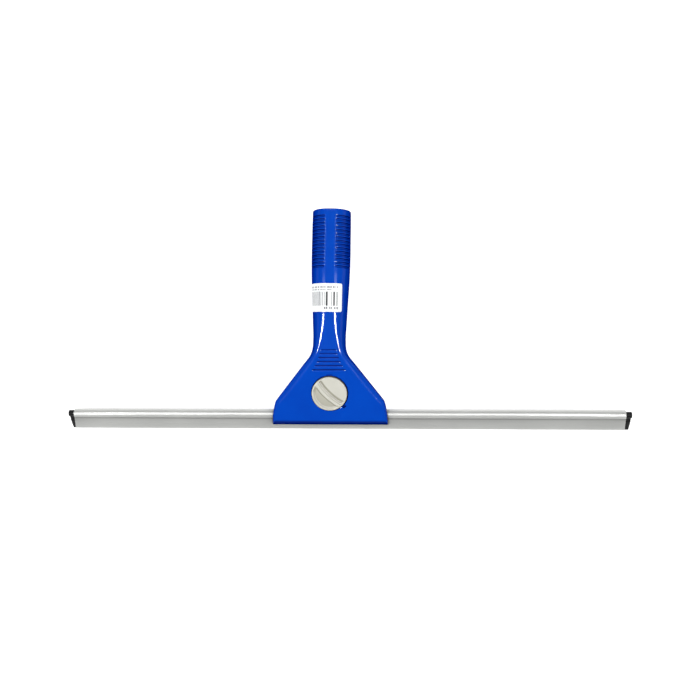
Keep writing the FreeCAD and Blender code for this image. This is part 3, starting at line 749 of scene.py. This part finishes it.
    # ---- moulding cores at the back of the wings
    for sg in (-1, 1):
        tri = [(17.4, 8.4), (37.5, 8.4), (37.8, 11.0), (17.4, 37.2)]
        rad = [1.2, 1.0, 1.2, 1.5]
        pts = []
        for i, (c, rr) in enumerate(zip(tri, rad)):
            a, b = Vector(tri[i - 1]), Vector(tri[(i + 1) % 4])
            c = Vector(c)
            d0, d1 = (a - c).normalized(), (b - c).normalized()
            for k in range(5):
                t = k / 4.0
                q = (1 - t) ** 2 * (c + d0 * rr) + 2 * t * (1 - t) * c + t * t * (c + d1 * rr)
                pts.append((sg * q.x, q.y))
        boolean(ob, prism_n("c7", pts, -40, 3.4))
    clean(ob)
    ob.data.materials.clear()
    ob.data.materials.append(M_BLUE)
    for p in ob.data.polygons:
        p.material_index = 0
    shade(ob, 30.0)
    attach(ob, "handle")
    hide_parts("handle_body")
    return ob


# ---------------------------------------------------------------- knob
def build_knob():
    seg = 360
    top, R = 7.3, 14.3
    rib = math.radians(-45.0)
    cr, sr = math.cos(rib), math.sin(rib)

    def height(u, v):
        r = math.hypot(u, v)
        tt, s = u * cr + v * sr, -u * sr + v * cr
        s = s + 2.5 - 0.010 * tt * tt                   # the rib bows towards the lower left
        rim = blend01(13.3 - r, 0.0, 1.3 if s > 0 else 2.0)
        if s > 0:
            down = 0.80 * blend01(s, 1.7, 2.8) * (1 - blend01(s, 2.9, 5.0))
        else:
            q = -s
            down = 0.65 * blend01(q, 1.95, 2.9) + 1.15 * min(max((q - 1.95) / 8.4, 0.0), 1.0)
        crown = 0.16 * blend01(abs(s), 0.4, 1.3) * (1 - blend01(abs(s), 1.5, 2.1))
        lip = 0.08 * blend01(s, 4.2, 5.1) * (1 - blend01(s, 5.2, 7.0))
        return top - down * rim + (crown + lip) * rim

    rs = list(np.linspace(0.05, 13.2, 92))
    verts, rows = [], []
    for r in rs:
        rows.append([P(r * math.cos(a), KNOB_V + r * math.sin(a), height(r * math.cos(a), r * math.sin(a)))
                     for a in (2 * math.pi * j / seg for j in range(seg))])
    prof = []
    rr = 0.7
    for i in range(0, 9):
        t = math.radians(90.0 * i / 8)
        prof.append((R - rr + rr * math.sin(t), top - rr + rr * math.cos(t)))
    prof += [(R, 4.0), (R, 1.9), (R - 0.3, 1.6), (9.0, 1.6), (4.75, 1.6), (4.5, 1.35), (4.5, -1.5), (4.5, -4.3), (4.2, -4.6),
             (1.8, -4.6), (1.55, -4.35), (1.55, 0.0), (1.55, 3.6), (1.2, 3.9), (0.05, 4.0)]
    for r, n in prof:
        rows.append([P(r * math.cos(a), KNOB_V + r * math.sin(a), n) for a in (2 * math.pi * j / seg for j in range(seg))])
    for r in rows:
        verts += r
    faces = grid_faces(len(rows), seg)
    faces.append(tuple(range(seg))[::-1])
    faces.append(tuple(range((len(rows) - 1) * seg, len(rows) * seg)))
    ob = new_obj("turn_knob", verts, faces, mats=[M_KNOB], smooth=False)
    # spiral groove for the clamp block's pin
    gw, lock, tr = 1.48, 9.2, 2.5
    inner, outer = [], []
    n = 24
    for i in range(n + 1):
        ph = 180.0 + 90.0 * i / n
        r = lock - tr + tr * (ph - 180.0) / 90.0
        a = math.radians(ph)
        inner.append(((r - gw) * math.cos(a), KNOB_V + (r - gw) * math.sin(a)))
        outer.append(((r + gw) * math.cos(a), KNOB_V + (r + gw) * math.sin(a)))

    def cap(ph, sgn):
        r = lock - tr + tr * (ph - 180.0) / 90.0
        a = math.radians(ph)
        c = (r * math.cos(a), KNOB_V + r * math.sin(a))
        out = []
        for k in range(1, 10):
            b = a + (math.pi * k / 10.0) * sgn
            out.append((c[0] + gw * math.cos(b), c[1] + gw * math.sin(b)))
        return out
    pts = outer + cap(270.0, 1) + inner[::-1] + [(x, y) for x, y in cap(180.0, -1)][::-1]
    boolean(ob, prism_n("k1", pts, 1.0, 3.5))
    clean(ob, 1e-6)
    ob.data.materials.clear()
    ob.data.materials.append(M_KNOB)
    for p in ob.data.polygons:
        p.material_index = 0
    shade(ob, 34.0)
    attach(ob, "knob")
    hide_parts("lock_knob")
    return ob


# ---------------------------------------------------------------- channel and rubber
def extrude_profile(name, prof, x0, x1, mat, bevel):
    """Profile of (y, z about the bead), x in world mm."""
    n = len(prof)
    xs = np.linspace(x0, x1, 10)
    verts = []
    for x in xs:
        verts += [(x * MM, (BY + y) * MM, (DZ + BEAD_Z + z) * MM) for y, z in prof]
    faces = grid_faces(len(xs), n)
    faces.append(tuple(range(n))[::-1])
    faces.append(tuple(range((len(xs) - 1) * n, len(xs) * n)))
    ob = new_obj(name, verts, faces, mats=[mat], smooth=False)
    m = ob.modifiers.new("bev", "BEVEL")
    m.width, m.segments, m.limit_method, m.angle_limit = bevel * MM, 3, "ANGLE", math.radians(55)
    m.harden_normals = False
    apply_mods(ob)
    shade(ob, 30.0)
    return ob


def arc(r, a0, a1, n):
    return [(r * math.cos(math.radians(a0 + (a1 - a0) * i / n)), r * math.sin(math.radians(a0 + (a1 - a0) * i / n))) for i in range(n + 1)]


def build_channel():
    sk = math.radians(19.0)
    ex, en = (-math.cos(sk), -math.sin(sk)), (math.sin(sk), -math.cos(sk))
    s0 = (-3.24, 2.26)
    L, t = 9.75, 1.4

    def sp(a, b):
        return (s0[0] + a * ex[0] + b * en[0], s0[1] + a * ex[1] + b * en[1])
    pr = arc(4.0, 201.3, 174.5, 6)
    pr += [sp(0.75, t), sp(1.5, t), sp(5.0, t)]
    r = 0.45
    for i in range(5):                                # rounded tip, lower corner then upper
        a = math.radians(90.0 * i / 4)
        pr.append(sp(L - r + r * math.sin(a), t - r + r * math.cos(a)))
    for i in range(5):
        a = math.radians(90.0 * i / 4)
        pr.append(sp(L - r + r * math.cos(a), r - r * math.sin(a)))
    pr += [sp(5.0, 0.0), sp(1.2, 0.0), sp(0.35, 0.0), sp(0.02, 0.05)]
    pr += arc(4.0, 142.6, -125.3, 90)
    pr += arc(2.8, -117.8, 193.8, 60)
    ob = extrude_profile("channel_extrusion", pr, ch_lo.x, ch_hi.x, M_ALU, 0.14)
    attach(ob, "blade")
    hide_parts("blade_channel")
    return ob


def build_rubber():
    rb = math.radians(38.0)
    d, m = (-math.cos(rb), -math.sin(rb)), (math.sin(rb), -math.cos(rb))

    def q(t, s):
        return (t * d[0] + s * m[0], t * d[1] + s * m[1])
    a = math.degrees(math.asin(0.95 / 2.6))
    pr = arc(2.6, 218 + a, 218 - a + 360, 56)          # bead, from the lower side round to the upper
    pr += [q(3.0, -0.95), q(4.9, -0.95), q(5.15, -1.02), q(5.6, -1.3), q(5.85, -1.36), q(8.4, -1.25), q(12.0, -1.02),
           q(15.55, -0.8), q(15.78, -0.74), q(15.9, -0.58), q(15.9, 0.33), q(15.82, 0.5), q(15.65, 0.6),
           q(12.0, 0.93), q(8.4, 1.25), q(5.85, 1.36), q(5.6, 1.3), q(5.15, 1.02), q(4.9, 0.95), q(3.0, 0.95)]
    ob = extrude_profile("rubber_strip", pr, ru_lo.x, ru_hi.x, M_RUBBER, 0.16)
    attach(ob, "blade")
    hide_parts("rubber_blade")
    return ob


# ---------------------------------------------------------------- label
def build_label():
    rnd = random.Random(11)
    y_hi, y_lo = 105.0, 83.0
    H = y_hi - y_lo
    u0, u1 = -10.7, 28.6                                # arc length from the top centre line, + to the left
    cache = {}

    def arcs(y):
        key = round(y, 3)
        if key not in cache:
            h = half_contour(y)
            p = np.array(h)
            s = np.concatenate([[0], np.cumsum(np.hypot(*np.diff(p, axis=0).T))])
            cache[key] = (p, s)
        return cache[key]

    def at(u, y, off):
        p, s = arcs(y)
        a = abs(u)
        x = float(np.interp(a, s, p[:, 0]))
        z = float(np.interp(a, s, p[:, 1]))
        x2, z2 = float(np.interp(a + 0.3, s, p[:, 0])), float(np.interp(a + 0.3, s, p[:, 1]))
        x1, z1 = float(np.interp(max(a - 0.3, 0), s, p[:, 0])), float(np.interp(max(a - 0.3, 0), s, p[:, 1]))
        nx, nz = -(z2 - z1), (x2 - x1)
        ln = math.hypot(nx, nz) or 1.0
        nx, nz = nx / ln, nz / ln
        if a < 0.3:
            nx = 0.0
        sg = -1.0 if u > 0 else 1.0
        x, nx = x * sg, nx * sg
        return W(*place(x + nx * off, z + nz * off, y, tilt_at(y)))

    # columns: rounded ends plus the edges of every mark
    bars = [(-6.6, -5.9, True), (-4.7, -3.3, True), (-2.1, -1.7, False), (1.1, 2.6, True), (3.5, 3.9, False),
            (5.0, 5.6, False), (6.4, 6.9, False), (7.8, 8.8, False), (9.7, 10.2, False), (11.1, 11.9, False),
            (12.8, 13.6, False), (14.7, 15.2, False), (16.0, 17.2, True), (18.3, 18.8, False), (20.0, 21.2, False),
            (22.3, 22.8, True), (23.9, 24.6, False)]
    dash1, u = [], u0 + 4.0
    while u < u1 - 4.0:
        w = rnd.choice([0.5, 0.8, 1.1, 0.7])
        dash1.append((u, u + w))
        u += w + rnd.choice([0.3, 0.35, 0.4, 1.1])
    dash2, u = [], u0 + 3.6
    while u < u0 + 15.0:
        w = rnd.choice([0.7, 0.9, 1.2])
        dash2.append((u, u + w))
        u += w + rnd.choice([0.45, 0.5, 1.5])
    r = 1.4
    cu = set()
    for i in range(9):
        a = r * (1 - math.cos(math.radians(90.0 * i / 8)))
        cu.add(round(u0 + a, 4))
        cu.add(round(u1 - a, 4))
    for lst in (bars, dash1, dash2):
        for b in lst:
            cu.add(round(b[0], 4))
            cu.add(round(b[1], 4))
    cu |= {round(x, 4) for x in np.arange(u0 + 2, u1 - 1.5, 0.7)}
    cu = sorted(cu)
    cc = [cu[0]]
    for x in cu[1:]:
        if x - cc[-1] > 0.03:
            cc.append(x)
    cu = cc
    # rows measured down from the top edge
    marks = {"d1": (2.2, 3.6), "d1b": (4.4, 5.2), "bar": (6.4, 17.2), "d2": (18.1, 19.9)}
    rv = sorted({0.0, 0.7, 1.4, 2.2, 3.6, 4.4, 5.2, 6.4, 9.1, 11.8, 14.5, 17.2, 18.1, 19.9, 20.6, 21.3, H})

    def lim(u):
        d = min(u - u0, u1 - u)
        if d >= r:
            return 0.0
        return r - math.sqrt(max(r * r - (r - d) ** 2, 0.0))
    top, faces, mi = [], [], []
    for i, uu in enumerate(cu):
        m = lim(uu)
        for v in rv:
            vv = min(max(v, m), H - m)
            lift = 0.06 * blend01(1.6 - min(uu - u0, u1 - uu), 0, 1.6) + 0.03 * blend01(1.2 - min(v, H - v), 0, 1.2)
            top.append((uu, y_hi - vv, 0.16 + lift))
    nu, nv = len(cu), len(rv)
    verts = [at(a, b, c) for a, b, c in top] + [at(a, b, c - 0.10) for a, b, c in top]
    base = nu * nv

    def inside(x, lst):
        for b in lst:
            if b[0] - 1e-4 < x < b[1] + 1e-4:
                return b
        return None
    for i in range(nu - 1):
        for j in range(nv - 1):
            a = i * nv + j
            mid_u, mid_v = (cu[i] + cu[i + 1]) / 2, (rv[j] + rv[j + 1]) / 2
            k = 0
            if marks["bar"][0] < mid_v < marks["bar"][1]:
                b = inside(mid_u, bars)
                if b:
                    k = 1 if b[2] else 2
            elif marks["d1"][0] < mid_v < marks["d1"][1] and inside(mid_u, dash1):
                k = 2
            elif marks["d1b"][0] < mid_v < marks["d1b"][1] and inside(mid_u, dash1) and mid_u > u0 + 9:
                k = 2
            elif marks["d2"][0] < mid_v < marks["d2"][1] and inside(mid_u, dash2):
                k = 2
            faces.append((a, a + nv, a + nv + 1, a + 1))
            mi.append(k)
            faces.append((base + a, base + a + 1, base + a + nv + 1, base + a + nv))
            mi.append(0)
    for i in range(nu - 1):
        for j in (0, nv - 1):
            a, b = i * nv + j, (i + 1) * nv + j
            faces.append((a, b, base + b, base + a))
            mi.append(0)
    for j in range(nv - 1):
        for i in (0, nu - 1):
            a, b = i * nv + j, i * nv + j + 1
            faces.append((a, b, base + b, base + a))
            mi.append(0)
    ob = new_obj("label_sticker", verts, faces, mats=[M_PAPER, M_INK, M_INK2], smooth=True, angle=40, mat_idx=mi)
    clean(ob, 1e-6)
    shade(ob, 40)
    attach(ob, "handle")
    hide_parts("price_label")
    return ob


handle = build_handle()
knob = build_knob()
channel = build_channel()
rubber = build_rubber()
label = build_label()

# carried-over CAD nodes get their finish here
for nm, mt in (("clamp_slider", M_ACETAL), ("spring_washer", M_SPRING), ("flat_washer", M_STEEL), ("knob_screw", M_STEEL)):
    o = frame["nodes"][nm]
    o.data.materials.clear()
    o.data.materials.append(mt)

# ---------------------------------------------------------------- stage
mf, nt, bs = mat_base("floor")
tc = coords(nt)
nz = node(nt, "ShaderNodeTexNoise", Scale=0.02, Detail=3.0)
nt.links.new(tc.outputs[0], nz.inputs["Vector"])
rp = ramp(nt, [(0.3, (0.49, 0.49, 0.49, 1)), (0.7, (0.51, 0.51, 0.51, 1))])
nt.links.new(nz.outputs["Fac"], rp.inputs["Fac"])
nt.links.new(rp.outputs["Color"], bs.inputs["Base Color"])
bs.inputs["Roughness"].default_value = 0.7
bs.inputs["Specular IOR Level"].default_value = 0.2
# painted light: the floor glows, which washes out the cast shadows and lights the tool from below
nt.links.new(rp.outputs["Color"], bs.inputs["Emission Color"])
bs.inputs["Emission Strength"].default_value = 1.7
fl = bpy.data.meshes.new("floor")
S = 4.0
fl.from_pydata([(-S, -S, 0), (S, -S, 0), (S, S, 0), (-S, S, 0)], [], [(0, 1, 2, 3)])
fl.materials.append(mf)
flo = bpy.data.objects.new("floor", fl)
bpy.context.scene.collection.objects.link(flo)
flo.location.z = cad_lo.z - 0.00005

sc = bpy.context.scene
sc.view_settings.view_transform = "Standard"
sc.view_settings.look = "None"
sc.view_settings.exposure = 0.0
sc.view_settings.gamma = 1.0

w = bpy.data.worlds.new("studio")
sc.world = w
w.use_nodes = True
bg = w.node_tree.nodes["Background"]
bg.inputs["Color"].default_value = (1.0, 0.995, 0.985, 1)
bg.inputs["Strength"].default_value = 1.0
# the studio is dark overhead and pale at the horizon
wn = w.node_tree.nodes
wt = wn.new("ShaderNodeTexCoord")
wx = wn.new("ShaderNodeSeparateXYZ")
wr = wn.new("ShaderNodeValToRGB")
wr.color_ramp.elements[0].position, wr.color_ramp.elements[0].color = 0.10, (0.9, 0.9, 0.9, 1)
wr.color_ramp.elements[1].position, wr.color_ramp.elements[1].color = 0.34, (0.05, 0.05, 0.05, 1)
w.node_tree.links.new(wt.outputs["Generated"], wx.inputs[0])
w.node_tree.links.new(wx.outputs["Z"], wr.inputs["Fac"])
w.node_tree.links.new(wr.outputs["Color"], bg.inputs["Color"])


def softbox(name, ang, az, dist, across, along, radiance, color=(1, 1, 1)):
    """Rectangular light aimed at the tool, ang degrees off the vertical towards azimuth az."""
    a, b = math.radians(ang), math.radians(az)
    loc = Vector((math.sin(a) * math.cos(b), math.sin(a) * math.sin(b), math.cos(a))) * dist
    ld = bpy.data.lights.new(name, "AREA")
    ld.shape = "RECTANGLE"
    ld.size, ld.size_y = across, along
    ld.energy = radiance * math.pi * across * along
    ld.color = color
    lo = bpy.data.objects.new(name, ld)
    sc.collection.objects.link(lo)
    z = loc.normalized()
    y = Vector((-math.sin(b), math.cos(b), 0.0))        # the long side lies level
    x = y.cross(z)
    lo.matrix_world = Matrix.Translation(loc) @ Matrix((x, y, z)).transposed().to_4x4()
    return lo


softbox("strip_left", 30, 188, 1.6, 0.32, 0.20, 84)
softbox("strip_right", 26, -8, 1.6, 0.28, 0.20, 84)
softbox("panel_left", 29, 180, 1.6, 0.60, 0.40, 2.8)
softbox("panel_right", 25, 0, 1.6, 0.60, 0.40, 3.2)
softbox("panel_back", 28, 90, 1.6, 0.30, 1.0, 1.6)

# ---------------------------------------------------------------- camera
cam_d = bpy.data.cameras.new("cam")
cam = bpy.data.objects.new("cam", cam_d)
sc.collection.objects.link(cam)
sc.camera = cam
CX, CY, CZ = 36.6, 64.46, 700.0
YAW, PITCH, ROLL, F_PX = 0.04823, math.radians(-1.0), -0.00101, 846.0
cam_d.sensor_width = 36.0
cam_d.lens = F_PX / 700.0 * 36.0
R = Matrix.Rotation(YAW, 3, "Y") @ Matrix.Rotation(PITCH, 3, "X") @ Matrix.Rotation(ROLL, 3, "Z")
ctr_x = (ch_lo.x + ch_hi.x) / 2
cam.matrix_world = Matrix.Translation(((ctr_x + CX) * MM, (BY + CY) * MM, CZ * MM)) @ R.to_4x4()
cam_d.clip_start, cam_d.clip_end = 0.05, 20.0
cam_d.dof.use_dof = False
